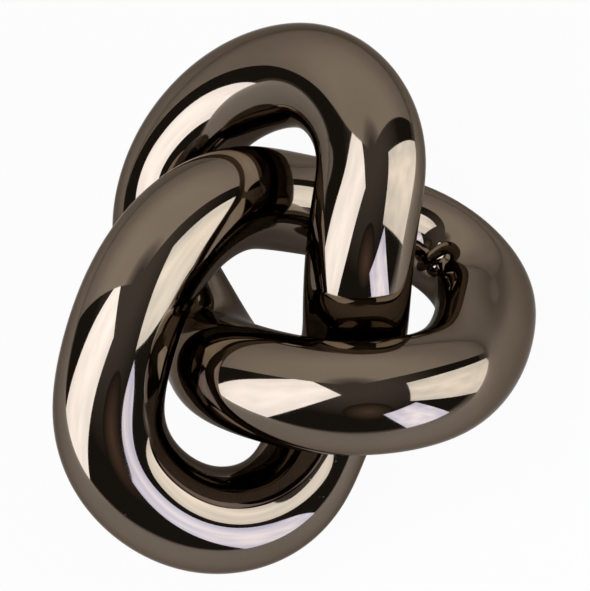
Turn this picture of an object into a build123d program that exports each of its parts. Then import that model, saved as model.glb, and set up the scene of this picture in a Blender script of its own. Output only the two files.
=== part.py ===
from build123d import *
import os
from dataclasses import dataclass
from math import atan2, cos, degrees, sin, sqrt

# Knot sculpture: one round tube led in a closed three-lobed knot, made from nine bent tubes.
# The bends are butted end to end over short inner sleeves, welded all round and ground flush.
# It lies flat on three push-in rubber feet, with +Z up and -Y towards the viewer.

# Tube, in millimetres
tube_diameter = 42.4
tube_wall = 2.0

# Girth joints between the bends
weld_gap = 2.0
sleeve_length = 16.0
sleeve_wall = 1.5
sleeve_clearance = 0.1
joint_setback = 12.0

# Push-in feet
foot_diameter = 16.0
foot_lift = 1.2
foot_seat = 1.2
stem_diameter = 6.0
stem_clearance = 0.1
barb_diameter = 7.2
barb_tip_diameter = 4.0
barb_length = 3.5
barb_clearance = 0.6

# Centre line of each bend, in tube diameters: to the right, away from the viewer, and above the
# surface under the tube. The bends are named in order along the loop, lobes, overs and unders.
bend_points = {
    "far_lobe": [(0.50, 1.27, 2.47), (-0.87, 2.05, 1.48)],
    "left_under": [(-1.53, 1.39, 0.66)],
    "front_over": [(-1.04, -0.21, 0.77), (-0.47, -1.06, 1.74)],
    "right_lobe": [(0.54, -1.30, 2.00), (1.65, -0.42, 1.13)],
    "back_under": [(1.70, 0.59, 0.54)],
    "left_over": [(0.07, 1.06, 1.13), (-0.94, 0.61, 1.91)],
    "near_lobe": [(-1.58, -0.38, 1.98), (-1.63, -1.77, 1.25)],
    "front_under": [(-0.57, -2.00, 0.59)],
    "back_over": [(0.33, -0.71, 0.82), (0.47, 0.02, 1.98)],
}

tube_radius = tube_diameter / 2
bore_radius = tube_radius - tube_wall
sleeve_radius = bore_radius - sleeve_clearance
stem_hole_radius = stem_diameter / 2 + stem_clearance
least_run = 0.001


@dataclass
class Arc:
    """A circular stretch of the centre line, measured along the loop."""

    begins: float
    start: Vector
    heading: Vector
    inward: Vector
    radius: float
    angle: float

    @property
    def ends(self):
        return self.begins + self.radius * self.angle

    @property
    def axis(self):
        return Axis(self.start + self.inward * self.radius, self.heading.cross(self.inward))

    def section(self, length):
        """The plane across the tube at a length along this arc."""
        turn = length / self.radius
        inward = self.inward * cos(turn) - self.heading * sin(turn)
        heading = self.heading * cos(turn) + self.inward * sin(turn)
        return Plane(self.start + (self.inward - inward) * self.radius, x_dir=inward, z_dir=heading)

    def lowest(self):
        """The length at which the arc is lowest, if that is within it."""
        angle = atan2(-self.heading.Z, self.inward.Z)
        return angle * self.radius if 0 < angle < self.angle else None


def arc_to(begins, start, heading, end):
    """The arc that leaves a point along a heading and meets another point."""
    chord = end - start
    sideways = chord - heading * chord.dot(heading)
    inward = sideways.normalized()
    radius = chord.dot(chord) / (2 * sideways.length)
    angle = 2 * atan2(sideways.length, chord.dot(heading))
    return Arc(begins, start, heading, inward, radius, angle)


def heading_at(before, here, after):
    """The direction, at the middle point, of the circle through three points."""
    into = here - before
    out = after - here
    return (into / into.dot(into) + out / out.dot(out)).normalized()


def lay_arcs(points):
    """Two tangent arcs from each point to the next, round the closed loop."""
    count = len(points)
    headings = [heading_at(points[i - 1], points[i], points[(i + 1) % count]) for i in range(count)]
    laid = []
    length = 0.0
    for i in range(count):
        start, end = points[i], points[(i + 1) % count]
        leave, arrive = headings[i], headings[(i + 1) % count]
        chord = end - start
        along = chord.dot(leave + arrive)
        turn = 2 * (1 - leave.dot(arrive))
        reach = (sqrt(along**2 + turn * chord.dot(chord)) - along) / turn
        middle = (start + end + (leave - arrive) * reach) / 2
        for arc_start, arc_heading, arc_end in (
            (start, leave, middle),
            (middle, (middle - start - leave * reach).normalized(), end),
        ):
            laid.append(arc_to(length, arc_start, arc_heading, arc_end))
            length = laid[-1].ends
    return laid, length


lift = Vector(0, 0, foot_lift)
route = [Vector(*p) * tube_diameter + lift for points in bend_points.values() for p in points]
arcs, loop_length = lay_arcs(route)

# Each joint lies a little before the first point of the bend that it is named after.
joint_lengths = {}
point_number = 0
for bend_name, points in bend_points.items():
    joint_lengths[bend_name] = arcs[2 * point_number].begins - joint_setback
    point_number += len(points)

# The tube touches down where its centre line is lowest.
touchdowns = [
    (arc.begins + arc.lowest(), arc.section(arc.lowest()).origin) for arc in arcs if arc.lowest()
]


def run_tube(start, end, outer_radius, inner_radius=0.0, mode=Mode.ADD):
    """Turn the round section about each arc in a stretch of the loop."""
    for arc in arcs:
        for lap in (-loop_length, 0.0, loop_length):
            first = max(start - lap, arc.begins)
            last = min(end - lap, arc.ends)
            if last - first < least_run:
                continue
            with BuildSketch(arc.section(first - arc.begins)) as section:
                Circle(outer_radius)
                if inner_radius:
                    Circle(inner_radius, mode=Mode.SUBTRACT)
            turn = degrees((last - first) / arc.radius)
            revolve(section.sketch, axis=arc.axis, revolution_arc=turn, mode=mode)


pieces = []
joints = list(joint_lengths.values())
joint_ends = joints[1:] + [joints[0] + loop_length]

# Nine bent tubes, each short of its joints by half the weld gap, with holes for the feet's stems
for (bend_name, joint), next_joint in zip(joint_lengths.items(), joint_ends):
    start = joint + weld_gap / 2
    end = next_joint - weld_gap / 2
    with BuildPart() as bend:
        run_tube(start, end, tube_radius, bore_radius)
        for touchdown, centre in touchdowns:
            if start < touchdown < end:
                with BuildSketch(Plane.XY):
                    with Locations((centre.X, centre.Y)):
                        Circle(stem_hole_radius)
                extrude(amount=centre.Z, mode=Mode.SUBTRACT)
    bend.part.label = f"{bend_name}_bend"
    pieces.append(bend.part)

# A backing sleeve inside each joint, and the weld that fills the gap over it
for bend_name, joint in joint_lengths.items():
    with BuildPart() as sleeve:
        half = sleeve_length / 2
        run_tube(joint - half, joint + half, sleeve_radius, sleeve_radius - sleeve_wall)
    sleeve.part.label = f"{bend_name}_sleeve"
    pieces.append(sleeve.part)

    with BuildPart() as weld:
        half = weld_gap / 2
        run_tube(joint - half, joint + half, tube_radius, sleeve_radius)
    weld.part.label = f"{bend_name}_weld"
    pieces.append(weld.part)

# Rubber feet: a pad hollowed to the tube above, with a barbed stem through the tube's wall
for number, (touchdown, centre) in enumerate(touchdowns, start=1):
    barb_base = centre.Z - bore_radius + barb_clearance
    with BuildPart() as foot:
        with BuildSketch(Plane.XY):
            with Locations((centre.X, centre.Y)):
                Circle(foot_diameter / 2)
        extrude(amount=foot_lift + foot_seat)
        run_tube(touchdown - foot_diameter, touchdown + foot_diameter, tube_radius, mode=Mode.SUBTRACT)
        with BuildSketch(Plane.XY):
            with Locations((centre.X, centre.Y)):
                Circle(stem_diameter / 2)
        extrude(amount=barb_base)
        with BuildSketch(Plane.XY.offset(barb_base)):
            with Locations((centre.X, centre.Y)):
                Circle(barb_diameter / 2)
        with BuildSketch(Plane.XY.offset(barb_base + barb_length)):
            with Locations((centre.X, centre.Y)):
                Circle(barb_tip_diameter / 2)
        loft()
    foot.part.label = f"foot_{number}"
    pieces.append(foot.part)

os.makedirs("parts", exist_ok=True)
for piece in pieces:
    export_step(piece, f"parts/{piece.label}.step")
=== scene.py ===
import logging
from dataclasses import dataclass, field
from enum import Enum
from functools import cached_property
from math import atan2, cos, pi, radians, sin, sqrt, tan
from typing import Any

import bmesh
import bpy
from mathutils import Euler, Matrix, Vector
from mathutils.kdtree import KDTree


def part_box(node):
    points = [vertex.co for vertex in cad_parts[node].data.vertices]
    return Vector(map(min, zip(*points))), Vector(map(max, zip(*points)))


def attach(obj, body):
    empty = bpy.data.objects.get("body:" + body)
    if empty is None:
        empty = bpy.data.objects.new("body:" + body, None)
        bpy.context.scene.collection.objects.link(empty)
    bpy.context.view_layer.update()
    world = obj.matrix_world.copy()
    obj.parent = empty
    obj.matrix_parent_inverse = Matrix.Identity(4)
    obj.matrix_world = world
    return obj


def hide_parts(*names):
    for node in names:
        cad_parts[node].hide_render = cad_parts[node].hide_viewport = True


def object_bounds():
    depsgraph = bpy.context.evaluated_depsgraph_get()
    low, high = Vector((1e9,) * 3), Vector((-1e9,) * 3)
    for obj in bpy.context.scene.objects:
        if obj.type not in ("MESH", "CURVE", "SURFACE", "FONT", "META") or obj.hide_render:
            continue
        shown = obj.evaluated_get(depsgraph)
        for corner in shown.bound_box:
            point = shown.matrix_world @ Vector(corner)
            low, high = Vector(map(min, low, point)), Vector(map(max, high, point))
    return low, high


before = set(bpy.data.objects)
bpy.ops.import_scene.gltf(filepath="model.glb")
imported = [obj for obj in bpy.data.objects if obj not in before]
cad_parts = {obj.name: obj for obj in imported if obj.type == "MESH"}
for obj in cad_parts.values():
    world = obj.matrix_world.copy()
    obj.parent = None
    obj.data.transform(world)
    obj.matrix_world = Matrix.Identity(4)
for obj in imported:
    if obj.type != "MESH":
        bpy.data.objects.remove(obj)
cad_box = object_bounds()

# Knot sculpture: a mirror-polished tube that goes over and under itself in a closed three-lobed
# knot. Lengths are in metres and angles in degrees, +Z is up, and -Y is towards the viewer.

log = logging.getLogger("knot")

Colour = tuple[float, float, float]
Point = tuple[float, float, float]
Stops = tuple[tuple[float, float], ...]

BODY = "root"
WHITE: Colour = (1.0, 1.0, 1.0)
ORIGIN: Point = (0.0, 0.0, 0.0)
UPWARD: Point = (0.0, 0.0, 1.0)


class Slot(Enum):
    """The record's material slots."""

    TUBE = "polished_tube"
    WELD = "ground_weld"
    SLEEVE = "sleeve_steel"
    FOOT = "foot_rubber"


class Wire:
    """A shader socket, with sums of values written as Python expressions."""

    def __init__(self, bench: "Bench", socket: bpy.types.NodeSocket | None) -> None:
        """Keep a socket with the bench that its node stands on.

        Args:
            bench: The node tree that new Math nodes are added to.
            socket: The output socket to read, or None for a node that has no outputs.
        """
        self.bench = bench
        self.socket = socket

    def _maths(self, operation: str, first: Any, second: Any) -> "Wire":
        """Add a Math node.

        Args:
            operation: The Math node's operation.
            first: Its first value or wire.
            second: Its second value or wire.

        Returns:
            The node's value.
        """
        return self.bench.node("ShaderNodeMath", {"operation": operation}, {0: first, 1: second})

    def __add__(self, other: Any) -> "Wire":
        """This value plus another."""
        return self._maths("ADD", self, other)

    __radd__ = __add__

    def __sub__(self, other: Any) -> "Wire":
        """This value less another."""
        return self._maths("SUBTRACT", self, other)

    def __rsub__(self, other: Any) -> "Wire":
        """Another value less this one."""
        return self._maths("SUBTRACT", other, self)

    def __mul__(self, other: Any) -> "Wire":
        """This value times another."""
        return self._maths("MULTIPLY", self, other)

    __rmul__ = __mul__

    def __truediv__(self, other: Any) -> "Wire":
        """This value divided by another."""
        return self._maths("DIVIDE", self, other)

    def __rtruediv__(self, other: Any) -> "Wire":
        """Another value divided by this one."""
        return self._maths("DIVIDE", other, self)

    def __lt__(self, other: Any) -> "Wire":
        """One where this value is under another, and nought elsewhere."""
        return self._maths("LESS_THAN", self, other)

    def __gt__(self, other: Any) -> "Wire":
        """One where this value is over another, and nought elsewhere."""
        return self._maths("GREATER_THAN", self, other)


class Bench:
    """A node tree on which a finish is wired."""

    def __init__(self, owner: bpy.types.ID) -> None:
        """Clear the owner's nodes.

        Args:
            owner: The material, world or light that owns the node tree.
        """
        owner.use_nodes = True
        self.tree = owner.node_tree
        self.tree.nodes.clear()

    def node(
        self,
        kind: str,
        settings: dict[str, Any] | None = None,
        sockets: dict[str | int, Any] | None = None,
        output: str | int = 0,
    ) -> Wire:
        """Add a node.

        Args:
            kind: The node's type.
            settings: Its settings, or the stops of its ramp, which are set first.
            sockets: Values or wires for its input sockets.
            output: The output that is wanted.

        Returns:
            The wanted output as a wire, which is empty for an output node.
        """
        made = self.tree.nodes.new(kind)
        for name, value in (settings or {}).items():
            if name == "stops":
                self._set_stops(made.color_ramp, value)
            else:
                setattr(made, name, value)
        for name, value in (sockets or {}).items():
            if isinstance(value, Wire):
                self.tree.links.new(value.socket, made.inputs[name])
            else:
                made.inputs[name].default_value = value
        return Wire(self, made.outputs[output] if made.outputs else None)

    @staticmethod
    def _set_stops(ramp: bpy.types.ColorRamp, stops: Stops) -> None:
        """Give a ramp its stops.

        Args:
            ramp: The ramp, which starts with two stops.
            stops: Each stop's place and grey level, in order.
        """
        while len(ramp.elements) < len(stops):
            ramp.elements.new(1.0)
        for element, (place, level) in zip(ramp.elements, stops):
            element.position = place
            element.color = (level, level, level, 1.0)

    def coordinates(self, kind: str = "Object") -> Wire:
        """The coordinates that a pattern reads."""
        return self.node("ShaderNodeTexCoord", output=kind)

    def height(self, place: Wire) -> Wire:
        """The upward part of coordinates."""
        return self.node("ShaderNodeSeparateXYZ", None, {"Vector": place}, "Z")

    def noise(self, place: Wire, scale: float, detail: float = 2.0) -> Wire:
        """A noise pattern's value.

        Args:
            place: The coordinates to read.
            scale: Features for each metre.
            detail: Finer octaves.

        Returns:
            The noise, from nought to one.
        """
        sockets = {"Vector": place, "Scale": scale, "Detail": detail}
        return self.node("ShaderNodeTexNoise", None, sockets, "Fac")

    def ramp(self, value: Wire, stops: Stops) -> Wire:
        """A value led through the stops of a grey ramp."""
        return self.node("ShaderNodeValToRGB", {"stops": stops}, {"Fac": value})

    def mix(self, share: Any, first: Any, second: Any) -> Wire:
        """A colour between two others.

        Args:
            share: The second colour's share.
            first: The first colour or wire.
            second: The second colour or wire.

        Returns:
            The mixed colour.
        """
        colours = [c if isinstance(c, Wire) else (*c, 1.0) for c in (first, second)]
        sockets = {0: share, 6: colours[0], 7: colours[1]}
        return self.node("ShaderNodeMix", {"data_type": "RGBA"}, sockets, 2)

    def bump(self, height: Wire, distance: float, strength: float = 1.0) -> Wire:
        """A normal that follows a pattern's height."""
        sockets = {"Strength": strength, "Distance": distance, "Height": height}
        return self.node("ShaderNodeBump", None, sockets)

    def lit(self, colour: Wire) -> Wire:
        """A shader that gives off a colour as it is written."""
        return self.node("ShaderNodeEmission", None, {"Color": colour, "Strength": 1.0})

    def surface(self, sockets: dict[str | int, Any]) -> None:
        """Finish a material with one Principled shader."""
        shader = self.node("ShaderNodeBsdfPrincipled", None, sockets)
        self.node("ShaderNodeOutputMaterial", None, {"Surface": shader})


@dataclass(frozen=True)
class MirrorNickel:
    """Dark warm-grey nickel over a hand-polished tube."""

    name: str
    deep: Colour = (0.176, 0.142, 0.110)
    pale: Colour = (0.208, 0.170, 0.133)
    edge: Colour = (0.50, 0.47, 0.44)
    dust: Colour = (0.30, 0.28, 0.26)
    tone_scale: float = 14.0
    tone_stops: Stops = ((0.35, 0.0), (0.65, 1.0))
    roughness: float = 0.035
    haze_roughness: float = 0.03
    haze_scale: float = 38.0
    haze_detail: float = 4.0
    haze_stops: Stops = ((0.45, 0.0), (0.75, 1.0))
    speck_scale: float = 260.0
    speck_reach: float = 0.07
    speck_roughness: float = 0.3
    patch_scale: float = 9.0
    patch_detail: float = 3.0
    patch_stops: Stops = ((0.52, 0.0), (0.6, 1.0))
    wave_scale: float = 26.0
    wave_detail: float = 1.0
    wave_height: float = 0.00022

    def material(self) -> bpy.types.Material:
        """Wire the finish.

        Returns:
            The new material.
        """
        made = bpy.data.materials.new(self.name)
        bench = Bench(made)
        place = bench.coordinates()
        tone = bench.ramp(bench.noise(place, self.tone_scale), self.tone_stops)
        plating = bench.mix(tone, self.deep, self.pale)
        haze = bench.ramp(bench.noise(place, self.haze_scale, self.haze_detail), self.haze_stops)
        specks = self._specks(bench, place)
        dulled = haze * self.haze_roughness + specks * self.speck_roughness
        waves = bench.noise(place, self.wave_scale, self.wave_detail)
        bench.surface(
            {
                "Base Color": bench.mix(specks, plating, self.dust),
                "Metallic": 1.0,
                "Roughness": dulled + self.roughness,
                "Specular Tint": (*self.edge, 1.0),
                "Normal": bench.bump(waves, self.wave_height),
            }
        )
        return made

    def _specks(self, bench: Bench, place: Wire) -> Wire:
        """Fine dust that lies in patches on the polish.

        Args:
            bench: The node tree.
            place: The coordinates to read.

        Returns:
            One on a speck, and nought elsewhere.
        """
        cells = {"Vector": place, "Scale": self.speck_scale}
        distance = bench.node("ShaderNodeTexVoronoi", None, cells, "Distance")
        drifts = bench.noise(place, self.patch_scale, self.patch_detail)
        return (distance < self.speck_reach) * bench.ramp(drifts, self.patch_stops)


@dataclass(frozen=True)
class TurnedSteel:
    """Plain steel with the fine rings of the lathe, out of sight in the joints."""

    name: str = "turned_steel"
    dark: Colour = (0.22, 0.22, 0.23)
    light: Colour = (0.34, 0.34, 0.35)
    tone_scale: float = 60.0
    ring_scale: float = 900.0
    ring_wobble: float = 4.0
    ring_height: float = 0.00004
    ring_strength: float = 0.5
    ring_roughness: float = 0.1
    roughness: float = 0.32

    def material(self) -> bpy.types.Material:
        """Wire the finish.

        Returns:
            The new material.
        """
        made = bpy.data.materials.new(self.name)
        bench = Bench(made)
        place = bench.coordinates()
        waves = {"Vector": place, "Scale": self.ring_scale, "Distortion": self.ring_wobble}
        rings = bench.node("ShaderNodeTexWave", None, waves, "Fac")
        bench.surface(
            {
                "Base Color": bench.mix(bench.noise(place, self.tone_scale), self.dark, self.light),
                "Metallic": 1.0,
                "Roughness": rings * self.ring_roughness + self.roughness,
                "Normal": bench.bump(rings, self.ring_height, self.ring_strength),
            }
        )
        return made


@dataclass(frozen=True)
class MouldedRubber:
    """Matt black rubber with a fine moulded grain."""

    name: str = "moulded_rubber"
    dark: Colour = (0.010, 0.010, 0.011)
    worn: Colour = (0.032, 0.031, 0.030)
    wear_scale: float = 240.0
    wear_detail: float = 4.0
    wear_stops: Stops = ((0.4, 0.0), (0.75, 1.0))
    wear_roughness: float = 0.2
    grain_scale: float = 2200.0
    grain_height: float = 0.00005
    grain_strength: float = 0.6
    roughness: float = 0.62

    def material(self) -> bpy.types.Material:
        """Wire the finish.

        Returns:
            The new material.
        """
        made = bpy.data.materials.new(self.name)
        bench = Bench(made)
        place = bench.coordinates()
        wear = bench.ramp(bench.noise(place, self.wear_scale, self.wear_detail), self.wear_stops)
        grain = bench.noise(place, self.grain_scale)
        bench.surface(
            {
                "Base Color": bench.mix(wear, self.dark, self.worn),
                "Roughness": wear * self.wear_roughness + self.roughness,
                "Normal": bench.bump(grain, self.grain_height, self.grain_strength),
            }
        )
        return made


@dataclass(frozen=True)
class Arc:
    """A circular stretch of the tube's centre line."""

    begins: float
    start: Vector
    heading: Vector
    inward: Vector
    radius: float
    angle: float

    @property
    def ends(self) -> float:
        """The length along the loop at which the arc ends."""
        return self.begins + self.radius * self.angle

    def at(self, length: float) -> Vector:
        """The point at a length along the loop."""
        turn = (length - self.begins) / self.radius
        across = self.inward * (1 - cos(turn)) + self.heading * sin(turn)
        return self.start + across * self.radius


@dataclass
class KnotRoute:
    """The closed centre line of the tube, as arcs whose meetings are eased for the polish."""

    tube_diameter: float = 0.0424
    lift: float = 0.0012
    joint_setback: float = 0.012
    ease: float = 0.018
    ease_taps: int = 9
    nudge: float = 0.000424
    # Points of each bend, in tube diameters: to the right, away from the viewer, and up
    bend_points: dict[str, list[Point]] = field(
        default_factory=lambda: {
            "far_lobe": [(0.50, 1.27, 2.47), (-0.87, 2.05, 1.48)],
            "left_under": [(-1.53, 1.39, 0.66)],
            "front_over": [(-1.04, -0.21, 0.77), (-0.47, -1.06, 1.74)],
            "right_lobe": [(0.54, -1.30, 2.00), (1.65, -0.42, 1.13)],
            "back_under": [(1.70, 0.59, 0.54)],
            "left_over": [(0.07, 1.06, 1.13), (-0.94, 0.61, 1.91)],
            "near_lobe": [(-1.58, -0.38, 1.98), (-1.63, -1.77, 1.25)],
            "front_under": [(-0.57, -2.00, 0.59)],
            "back_over": [(0.33, -0.71, 0.82), (0.47, 0.02, 1.98)],
        }
    )

    @cached_property
    def points(self) -> list[Vector]:
        """The route's points, in metres."""
        rise = Vector((0.0, 0.0, self.lift))
        listed = [p for points in self.bend_points.values() for p in points]
        return [Vector(p) * self.tube_diameter + rise for p in listed]

    @cached_property
    def arcs(self) -> list[Arc]:
        """Two tangent arcs from each point to the next, round the loop."""
        points = self.points
        around = [*points[1:], points[0]]
        headings = [
            self._heading_at(before, here, after)
            for before, here, after in zip([points[-1], *points], points, around)
        ]
        laid: list[Arc] = []
        onward = [*headings[1:], headings[0]]
        for start, end, leave, arrive in zip(points, around, headings, onward):
            chord = end - start
            along = chord.dot(leave + arrive)
            turn = 2 * (1 - leave.dot(arrive))
            reach = (sqrt(along**2 + turn * chord.dot(chord)) - along) / turn
            middle = (start + end + (leave - arrive) * reach) / 2
            through = (middle - start - leave * reach).normalized()
            for first, heading, last in ((start, leave, middle), (middle, through, end)):
                begins = laid[-1].ends if laid else 0.0
                laid.append(self._arc_to(begins, first, heading, last))
        return laid

    @staticmethod
    def _heading_at(before: Vector, here: Vector, after: Vector) -> Vector:
        """The direction, at the middle point, of the circle through three points."""
        into, out = here - before, after - here
        return (into / into.dot(into) + out / out.dot(out)).normalized()

    @staticmethod
    def _arc_to(begins: float, start: Vector, heading: Vector, end: Vector) -> Arc:
        """The arc that leaves a point along a heading and meets another point.

        Args:
            begins: The length along the loop at the start.
            start: The first point.
            heading: The direction at the first point.
            end: The last point.

        Returns:
            The arc.
        """
        chord = end - start
        sideways = chord - heading * chord.dot(heading)
        radius = chord.dot(chord) / (2 * sideways.length)
        angle = 2 * atan2(sideways.length, chord.dot(heading))
        return Arc(begins, start, heading, sideways.normalized(), radius, angle)

    @property
    def loop(self) -> float:
        """The length of the whole loop."""
        return self.arcs[-1].ends

    def joints(self) -> dict[str, float]:
        """Find where the bends meet.

        Returns:
            The length along the loop at which each bend starts, by the bend's name.
        """
        found: dict[str, float] = {}
        passed = 0
        for name, points in self.bend_points.items():
            found[name] = self.arcs[2 * passed].begins - self.joint_setback
            passed += len(points)
        return found

    def _on_arcs(self, length: float) -> Vector:
        """The point at a length along the bare arcs."""
        wrapped = length % self.loop
        return next(arc for arc in self.arcs if wrapped <= arc.ends).at(wrapped)

    def at(self, length: float) -> Vector:
        """The point at a length along the eased line, a weighted mean of the arcs around it.

        Args:
            length: The length along the loop, which may run past its ends.

        Returns:
            The point.
        """
        total, weights = Vector(), 0.0
        for tap in range(-self.ease_taps, self.ease_taps + 1):
            share = tap / (self.ease_taps + 1)
            weight = 1 + cos(pi * share)
            total += self._on_arcs(length + share * self.ease) * weight
            weights += weight
        return total / weights

    def heading(self, length: float) -> Vector:
        """The direction of the eased line at a length."""
        return (self.at(length + self.nudge) - self.at(length - self.nudge)).normalized()

    def lengths(self, start: float, end: float, step: float) -> list[float]:
        """Even lengths from a start to an end, about a step apart."""
        count = max(1, round((end - start) / step))
        return [start + (end - start) * i / count for i in range(count + 1)]


@dataclass
class TubeRun:
    """A hollow round tube along a stretch of the route."""

    route: KnotRoute
    start: float
    end: float
    outer_radius: float
    inner_radius: float
    sides: int = 96
    step: float = 0.002
    wall_facing: float = 0.7

    def build(self, name: str) -> bpy.types.Object:
        """Carry a ring along the line as an open skin, and give the skin its wall.

        Args:
            name: The new piece's name.

        Returns:
            The new piece.
        """
        lengths = self.route.lengths(self.start, self.end, self.step)
        places = [self.route.at(length) for length in lengths]
        headings = [self.route.heading(length) for length in lengths]
        shape = bmesh.new()
        turn = headings[0].to_track_quat("Z", "Y").to_matrix().to_4x4()
        seat = Matrix.Translation(places[0]) @ turn
        bmesh.ops.create_circle(shape, segments=self.sides, radius=self.outer_radius, matrix=seat)
        rim = list(shape.edges)
        for i in range(1, len(places)):
            rim = self._extrude(shape, rim, places[i - 1 : i + 1], headings[i - 1 : i + 1])
        bmesh.ops.recalc_face_normals(shape, faces=shape.faces)
        wall = self.outer_radius - self.inner_radius
        bmesh.ops.solidify(shape, geom=shape.faces[:], thickness=wall)
        return new_piece(name, shape)

    @staticmethod
    def _extrude(
        shape: bmesh.types.BMesh,
        rim: list[bmesh.types.BMEdge],
        places: list[Vector],
        headings: list[Vector],
    ) -> list[bmesh.types.BMEdge]:
        """Carry the open rim on to the next place along the line.

        Args:
            shape: The mesh.
            rim: The edges of the open rim.
            places: This place and the next.
            headings: The line's direction at both.

        Returns:
            The edges of the new rim.
        """
        grown = bmesh.ops.extrude_edge_only(shape, edges=rim)["geom"]
        verts = [g for g in grown if isinstance(g, bmesh.types.BMVert)]
        turn = headings[0].rotation_difference(headings[1]).to_matrix()
        bmesh.ops.rotate(shape, cent=places[0], matrix=turn, verts=verts)
        bmesh.ops.translate(shape, vec=places[1] - places[0], verts=verts)
        fresh = set(verts)
        edges = [g for g in grown if isinstance(g, bmesh.types.BMEdge)]
        return [e for e in edges if fresh.issuperset(e.verts)]

    def polish(self, piece: bpy.types.Object) -> None:
        """Shade the walls by the true round of the tube, so that no seam shows in the mirror.

        Args:
            piece: The tube's piece.
        """
        lengths = self.route.lengths(self.start, self.end, self.step)
        line = KDTree(len(lengths))
        for number, length in enumerate(lengths):
            line.insert(self.route.at(length), number)
        line.balance()
        mesh = piece.data
        mesh.shade_smooth()
        outward = [(v.co - line.find(v.co)[0]).normalized() for v in mesh.vertices]
        normals: list[Vector] = [Vector()] * len(mesh.loops)
        for polygon in mesh.polygons:
            for loop in polygon.loop_indices:
                radial = outward[mesh.loops[loop].vertex_index]
                facing = radial.dot(polygon.normal)
                if abs(facing) > self.wall_facing:
                    normals[loop] = radial if facing > 0 else -radial
                else:
                    normals[loop] = polygon.normal.copy()
        mesh.normals_split_custom_set(normals)


def towards(azimuth: float, elevation: float) -> Vector:
    """A direction from the object.

    Args:
        azimuth: Degrees to the right of straight away from the viewer.
        elevation: Degrees above the floor.

    Returns:
        The direction, of unit length.
    """
    around, up = radians(azimuth), radians(elevation)
    return Vector((sin(around) * cos(up), cos(around) * cos(up), sin(up)))


def new_piece(name: str, shape: bmesh.types.BMesh) -> bpy.types.Object:
    """Turn a mesh in the making into a piece of the scene.

    Args:
        name: The piece's name.
        shape: The finished mesh, which is freed.

    Returns:
        The new piece, at the origin.
    """
    mesh = bpy.data.meshes.new(name)
    shape.to_mesh(mesh)
    shape.free()
    piece = bpy.data.objects.new(name, mesh)
    bpy.context.scene.collection.objects.link(piece)
    return piece


def settle(piece: bpy.types.Object, node: str, finish: bpy.types.Material) -> None:
    """Dress a piece and put it in its CAD node's place.

    Args:
        piece: The finished piece.
        node: The CAD node that it stands for.
        finish: The piece's material.
    """
    piece.data.materials.clear()
    piece.data.materials.append(finish)
    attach(piece, BODY)
    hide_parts(node)
    log.info("%s: %d faces", piece.name, len(piece.data.polygons))


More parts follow.
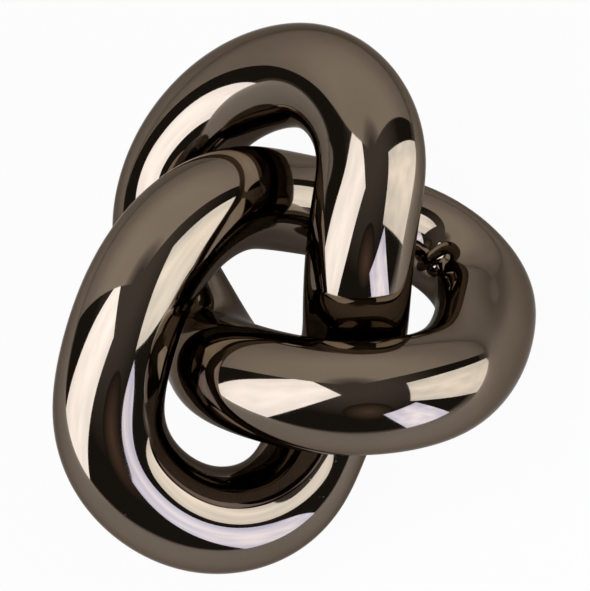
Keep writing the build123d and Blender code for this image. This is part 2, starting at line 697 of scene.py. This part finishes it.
@dataclass
class PushFoot:
    """A rubber foot with a pad hollowed to the tube and a barbed stem through its wall."""

    route: KnotRoute
    node: str
    tube_wall: float
    diameter: float = 0.016
    seat: float = 0.0012
    edge_round: float = 0.0004
    sole_recess: float = 0.0003
    sole_rim: float = 0.002
    stem_diameter: float = 0.006
    barb_diameter: float = 0.0072
    barb_tip_diameter: float = 0.004
    barb_length: float = 0.0035
    barb_clearance: float = 0.0006
    seat_rings: int = 8
    turns: int = 72
    line_steps: int = 60
    merge_distance: float = 0.000004
    level_tolerance: float = 0.0001
    crease: float = 40.0

    @cached_property
    def middle(self) -> Vector:
        """The foot's centre on the floor."""
        low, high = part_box(self.node)
        return Vector(((low.x + high.x) / 2, (low.y + high.y) / 2, 0.0))

    @cached_property
    def _nearby(self) -> list[Vector]:
        """Points of the tube's centre line above the foot."""
        lengths = self.route.lengths(0.0, self.route.loop, self.diameter / self.line_steps)
        centres = [self.route.at(length) for length in lengths]
        low = self.route.tube_diameter
        return [c for c in centres if c.z < low and (c.xy - self.middle.xy).length < self.diameter]

    def underside(self, x: float, y: float) -> float:
        """The height of the tube's underside over a point of the floor.

        Args:
            x: The point's place to the right.
            y: The point's place away from the viewer.

        Returns:
            The height above the floor.
        """
        radius = self.route.tube_diameter / 2
        spans = [(c.z, radius**2 - (c.x - x) ** 2 - (c.y - y) ** 2) for c in self._nearby]
        return min(height - sqrt(span) for height, span in spans if span > 0)

    def _profile(self, wall_inside: float) -> list[tuple[float, float]]:
        """The foot's half section, from the sole's centre round to the barb's tip.

        Args:
            wall_inside: The height of the tube wall's inner face.

        Returns:
            The section's radii and heights.
        """
        rim = self.diameter / 2
        stem = self.stem_diameter / 2
        top = self.route.lift + self.seat
        barb = wall_inside + self.barb_clearance
        recess = rim - self.sole_rim
        seat = [
            (rim + (stem - rim) * i / self.seat_rings, top) for i in range(1, self.seat_rings + 1)
        ]
        return [
            (0.0, self.sole_recess),
            (recess - self.sole_recess, self.sole_recess),
            (recess, 0.0),
            (rim - self.edge_round, 0.0),
            (rim, self.edge_round),
            (rim, top),
            *seat,
            (stem, barb),
            (self.barb_diameter / 2, barb),
            (self.barb_tip_diameter / 2, barb + self.barb_length),
            (0.0, barb + self.barb_length),
        ]

    def build(self) -> bpy.types.Object:
        """Spin the foot's section, and hollow its pad to the tube.

        Returns:
            The new piece.
        """
        under = self.underside(self.middle.x, self.middle.y)
        shape = bmesh.new()
        section = self._profile(under + self.tube_wall)
        verts = [shape.verts.new((r, 0.0, z)) for r, z in section]
        edges = [shape.edges.new(pair) for pair in zip(verts, verts[1:])]
        bmesh.ops.spin(
            shape,
            geom=verts + edges,
            cent=ORIGIN,
            axis=UPWARD,
            angle=2 * pi,
            steps=self.turns,
            use_merge=True,
        )
        bmesh.ops.remove_doubles(shape, verts=shape.verts, dist=self.merge_distance)
        bmesh.ops.recalc_face_normals(shape, faces=shape.faces)
        bmesh.ops.translate(shape, vec=self.middle, verts=shape.verts)
        top = self.route.lift + self.seat
        for vert in shape.verts:
            if abs(vert.co.z - top) < self.level_tolerance:
                vert.co.z = min(top, self.underside(vert.co.x, vert.co.y))
        piece = new_piece(f"{self.node}_rubber", shape)
        piece.data.shade_smooth()
        piece.data.set_sharp_from_angle(angle=radians(self.crease))
        return piece


@dataclass
class KnotTube:
    """The polished tube: bends that are butted over sleeves and welded flush."""

    route: KnotRoute
    wall: float = 0.002
    weld_gap: float = 0.002
    weld_step: float = 0.001
    sleeve_length: float = 0.016
    sleeve_wall: float = 0.0015
    sleeve_clearance: float = 0.0001
    stem_hole: float = 0.0062
    drill_sides: int = 48

    @property
    def outer(self) -> float:
        """The tube's outer radius."""
        return self.route.tube_diameter / 2

    @property
    def sleeve_outer(self) -> float:
        """The sleeves' outer radius."""
        return self.outer - self.wall - self.sleeve_clearance

    def build_bends(self, finish: bpy.types.Material, feet: list[PushFoot]) -> None:
        """Make the bends, drilled for the feet's stems.

        Args:
            finish: The tube's material.
            feet: The feet that are pushed into the tube.
        """
        joints = self.route.joints()
        starts = list(joints.values())
        for name, start, end in zip(joints, starts, [*starts[1:], starts[0] + self.route.loop]):
            half = self.weld_gap / 2
            run = TubeRun(self.route, start + half, end - half, self.outer, self.outer - self.wall)
            piece = run.build(f"{name}_tube")
            for foot in feet:
                self._drill(piece, foot, f"{name}_bend")
            run.polish(piece)
            settle(piece, f"{name}_bend", finish)

    def build_joints(
        self, weld_finish: bpy.types.Material, sleeve_finish: bpy.types.Material
    ) -> None:
        """Make the weld and the backing sleeve of each joint.

        Args:
            weld_finish: The welds' material.
            sleeve_finish: The sleeves' material.
        """
        for name, joint in self.route.joints().items():
            half = self.weld_gap / 2
            weld = TubeRun(
                self.route,
                joint - half,
                joint + half,
                self.outer,
                self.sleeve_outer,
                step=self.weld_step,
            )
            piece = weld.build(f"{name}_weld_ring")
            weld.polish(piece)
            settle(piece, f"{name}_weld", weld_finish)
            half = self.sleeve_length / 2
            inner = self.sleeve_outer - self.sleeve_wall
            sleeve = TubeRun(self.route, joint - half, joint + half, self.sleeve_outer, inner)
            piece = sleeve.build(f"{name}_backing_sleeve")
            sleeve.polish(piece)
            settle(piece, f"{name}_sleeve", sleeve_finish)

    def _drill(self, piece: bpy.types.Object, foot: PushFoot, node: str) -> None:
        """Cut the hole for a foot's stem, if the foot is under this bend.

        Args:
            piece: The bend's piece.
            foot: The foot.
            node: The bend's CAD node.
        """
        low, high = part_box(node)
        middle = foot.middle
        if not (low.x < middle.x < high.x and low.y < middle.y < high.y and low.z < self.wall):
            return
        shape = bmesh.new()
        bmesh.ops.create_cone(
            shape,
            cap_ends=True,
            segments=self.drill_sides,
            radius1=self.stem_hole / 2,
            radius2=self.stem_hole / 2,
            depth=self.outer,
            matrix=Matrix.Translation(middle),
        )
        cutter = new_piece("stem_drill", shape)
        hole = piece.modifiers.new("stem_hole", "BOOLEAN")
        hole.operation = "DIFFERENCE"
        hole.solver = "MANIFOLD"
        hole.object = cutter
        graph = bpy.context.evaluated_depsgraph_get()
        drilled = bpy.data.meshes.new_from_object(piece.evaluated_get(graph))
        piece.modifiers.clear()
        piece.data = drilled
        bpy.data.objects.remove(cutter)


@dataclass(frozen=True)
class SoftBox:
    """A rectangular studio lamp with a cloth front, placed by its direction from the object."""

    name: str
    azimuth: float
    elevation: float
    wide: float
    high: float
    radiance: float
    tint: Colour
    core: Colour
    distance: float
    lean: float
    roll: float
    centre: Point = (0.5, 0.5, 0.0)
    spread_share: float = 0.8
    fold_share: float = 0.8
    fold_scale: float = 4.0
    fold_detail: float = 1.0
    core_stops: Stops = ((0.4, 1.0), (0.95, 0.0))

    def place(self, aim: Vector) -> None:
        """Hang the lamp, facing the object.

        Args:
            aim: The point that it faces.
        """
        away = towards(self.azimuth, self.elevation)
        light = bpy.data.lights.new(self.name, "AREA")
        light.shape = "RECTANGLE"
        light.size = 2 * self.distance * tan(radians(self.wide / 2))
        light.size_y = 2 * self.distance * tan(radians(self.high / 2))
        light.energy = self.radiance * pi * light.size * light.size_y
        self._dress(Bench(light))
        lamp = bpy.data.objects.new(self.name, light)
        lamp.location = aim + away * self.distance
        turned = Euler((radians(self.lean), 0.0, radians(self.roll))).to_quaternion()
        lamp.rotation_euler = (away.to_track_quat("Z", "Y") @ turned).to_euler()
        lamp.visible_camera = False
        bpy.context.scene.collection.objects.link(lamp)

    def _dress(self, bench: Bench) -> None:
        """Give the cloth its brighter middle and its faint folds.

        Args:
            bench: The lamp's node tree.
        """
        place = bench.node("ShaderNodeNewGeometry", output="Parametric")
        ends = {0: place, 1: self.centre}
        spread = bench.node("ShaderNodeVectorMath", {"operation": "DISTANCE"}, ends, "Value")
        folds = bench.noise(place, self.fold_scale, self.fold_detail)
        dimming = spread * self.spread_share + folds * self.fold_share
        shade = bench.mix(bench.ramp(dimming, self.core_stops), self.tint, self.core)
        bench.node("ShaderNodeOutputLight", None, {"Surface": bench.lit(shade)})


@dataclass
class Studio:
    """The pale floor, the curved backdrop, the lamps, the dim card and the camera."""

    aim: Vector
    pale: Colour = (0.50, 0.465, 0.425)
    warm: Colour = (1.0, 0.935, 0.87)
    room: Colour = (0.042, 0.038, 0.033)
    ceiling: Colour = (0.22, 0.205, 0.195)
    ceiling_stops: Stops = ((0.55, 0.0), (0.97, 1.0))
    floor_reach: float = 9.0
    floor_sides: int = 96
    floor_white: float = 0.95
    floor_mirrored: Stops = ((0.0, 0.09), (1.0, 0.09))
    backdrop_distance: float = 1.0
    backdrop_from: float = -73.0
    backdrop_to: float = 57.0
    backdrop_top: float = 85.0
    backdrop_rings: int = 12
    backdrop_steps: int = 48
    backdrop_white: float = 1.0
    # Painted shade: the metal sees the backdrop dim at its foot, where it meets the floor, and
    # brighter with height
    backdrop_mirror_painted_shade: Stops = (
        (0.0, 0.12),
        (0.12, 0.42),
        (0.3, 0.46),
        (0.5, 0.75),
        (0.72, 1.0),
        (0.94, 0.95),
    )
    backdrop_fade: Stops = ((0.95, 0.0), (0.996, 1.0))
    glow: Colour = (0.31, 0.215, 0.17)
    glow_azimuth: float = 168.0
    glow_elevation: float = 41.0
    glow_distance: float = 1.4
    glow_reach: float = 0.40
    glow_sides: int = 48
    camera_place: Point = (-0.0027, -0.2101, 0.5234)
    camera_tilt: float = 24.194
    camera_lean: float = 0.297
    camera_lens: float = 76.27
    camera_sensor: float = 36.0
    lamps: tuple[SoftBox, ...] = (
        SoftBox(
            name="left_softbox",
            azimuth=-114.5,
            elevation=30.8,
            wide=43.9,
            high=86.9,
            radiance=5.9,
            tint=(0.72, 0.775, 0.88),
            core=(0.93, 1.0, 1.14),
            distance=1.49,
            lean=-1.0,
            roll=7.3,
        ),
        SoftBox(
            name="right_panel",
            azimuth=91.5,
            elevation=22.0,
            wide=37.0,
            high=66.6,
            radiance=4.1,
            tint=(0.70, 0.755, 0.80),
            core=(1.05, 1.09, 1.12),
            distance=0.6,
            lean=0.0,
            roll=22.0,
        ),
        SoftBox(
            name="front_panel",
            azimuth=139.0,
            elevation=13.0,
            wide=29.0,
            high=46.0,
            radiance=5.0,
            tint=(0.52, 0.60, 0.92),
            core=(0.88, 0.95, 1.20),
            distance=1.2,
            lean=0.0,
            roll=8.0,
        ),
    )

    def _pale_surface(self, name: str, own_white: float, mirrored: Stops) -> bpy.types.Material:
        """A pale matt surface that the camera sees as white, and the metal as white in part.

        Args:
            name: The material's name.
            own_white: The share of plain white in what the camera sees.
            mirrored: Stops of height and of the share of plain white in what the metal shows.

        Returns:
            The new material.
        """
        made = bpy.data.materials.new(name)
        bench = Bench(made)
        matt = bench.node("ShaderNodeBsdfDiffuse", None, {"Color": (*self.pale, 1.0)})
        rise = bench.height(bench.coordinates()) / self.backdrop_distance
        fade = bench.mix(bench.ramp(rise, self.backdrop_fade), self.warm, self.ceiling)
        seen = bench.node("ShaderNodeLightPath", output="Is Camera Ray")
        shiny = bench.node("ShaderNodeLightPath", output="Is Glossy Ray")
        through = bench.node("ShaderNodeLightPath", output="Is Transmission Ray")
        white = bench.lit(bench.mix(seen, fade, WHITE))
        # The ramp of height paints a shade on the backdrop's foot as the metal sees it; on the
        # floor it is even
        share = seen * own_white + (shiny + through) * bench.ramp(rise, mirrored)
        mixed = bench.node("ShaderNodeMixShader", None, {0: share, 1: matt, 2: white})
        bench.node("ShaderNodeOutputMaterial", None, {"Surface": mixed})
        return made

    def build_floor(self) -> None:
        """Lay the floor."""
        shape = bmesh.new()
        bmesh.ops.create_circle(
            shape, cap_ends=True, segments=self.floor_sides, radius=self.floor_reach
        )
        floor = new_piece("floor", shape)
        sheet = self._pale_surface("pale_floor", self.floor_white, self.floor_mirrored)
        floor.data.materials.append(sheet)

    def build_backdrop(self) -> None:
        """Spin a curved sheet that stands behind the object and leans over it."""
        shape = bmesh.new()
        reach = self.backdrop_distance
        rings = self.backdrop_rings
        lean = [radians(self.backdrop_top * i / rings) for i in range(rings + 1)]
        verts = [shape.verts.new((reach * cos(a), 0.0, reach * sin(a))) for a in lean]
        edges = [shape.edges.new(pair) for pair in zip(verts, verts[1:])]
        sweep = radians(self.backdrop_to - self.backdrop_from)
        # The section stands at +X, and azimuths count from +Y
        turn = Matrix.Rotation(radians(90.0 - self.backdrop_to), 3, "Z")
        bmesh.ops.rotate(shape, cent=ORIGIN, matrix=turn, verts=verts)
        bmesh.ops.spin(
            shape,
            geom=verts + edges,
            cent=ORIGIN,
            axis=UPWARD,
            angle=sweep,
            steps=self.backdrop_steps,
        )
        # The backdrop's mirrored stops paint a shade along its foot
        sheet = self._pale_surface("pale_backdrop", self.backdrop_white, self.backdrop_mirror_painted_shade)
        backdrop = new_piece("backdrop", shape)
        backdrop.data.shade_smooth()
        backdrop.data.materials.append(sheet)

    def build_lights(self) -> None:
        """Hang the lamps, and dim the room around them."""
        for lamp in self.lamps:
            lamp.place(self.aim)
        world = bpy.data.worlds.new("dim_room")
        bench = Bench(world)
        above = bench.ramp(bench.height(bench.coordinates("Generated")), self.ceiling_stops)
        shade = bench.mix(above, self.room, self.ceiling)
        dim = bench.node("ShaderNodeBackground", None, {"Color": shade, "Strength": 1.0})
        bench.node("ShaderNodeOutputWorld", None, {"Surface": dim})
        bpy.context.scene.world = world

    def build_glow(self) -> None:
        """Stand a dim warm card on the viewer's side, brightest in its middle."""
        shape = bmesh.new()
        bmesh.ops.create_circle(
            shape, cap_ends=True, segments=self.glow_sides, radius=self.glow_reach
        )
        away = towards(self.glow_azimuth, self.glow_elevation)
        card = new_piece("glow_card", shape)
        card.location = self.aim + away * self.glow_distance
        card.rotation_euler = away.to_track_quat("Z", "Y").to_euler()
        made = bpy.data.materials.new("warm_glow")
        bench = Bench(made)
        place = {0: bench.coordinates()}
        spread = bench.node("ShaderNodeVectorMath", {"operation": "LENGTH"}, place, "Value")
        shade = bench.mix(1 - spread / self.glow_reach, self.room, self.glow)
        bench.node("ShaderNodeOutputMaterial", None, {"Surface": bench.lit(shade)})
        card.data.materials.append(made)

    def build_camera(self) -> None:
        """Set the camera at the photograph's viewing angle."""
        lens = bpy.data.cameras.new("camera")
        lens.sensor_fit = "HORIZONTAL"
        lens.sensor_width = self.camera_sensor
        lens.lens = self.camera_lens
        camera = bpy.data.objects.new("camera", lens)
        camera.location = self.camera_place
        camera.rotation_euler = Euler((radians(self.camera_tilt), radians(self.camera_lean), 0.0))
        bpy.context.scene.collection.objects.link(camera)
        bpy.context.scene.camera = camera
        bpy.context.scene.view_settings.view_transform = "Standard"


def main() -> None:
    """Build the sculpture, dress it and set it in the studio."""
    logging.basicConfig(level=logging.INFO, format="%(message)s")
    route = KnotRoute()
    tube = KnotTube(route)
    nickel = MirrorNickel("mirror_nickel").material()
    ground = MirrorNickel("ground_nickel", roughness=0.04).material()
    steel = TurnedSteel().material()
    rubber = MouldedRubber().material()
    feet = [PushFoot(route, node, tube.wall) for node in ("foot_1", "foot_2", "foot_3")]
    tube.build_bends(nickel, feet)
    tube.build_joints(ground, steel)
    for foot in feet:
        settle(foot.build(), foot.node, rubber)
    low, high = cad_box
    studio = Studio((low + high) / 2)
    studio.build_floor()
    studio.build_backdrop()
    studio.build_lights()
    studio.build_glow()
    studio.build_camera()


if __name__ == "__main__":
    main()
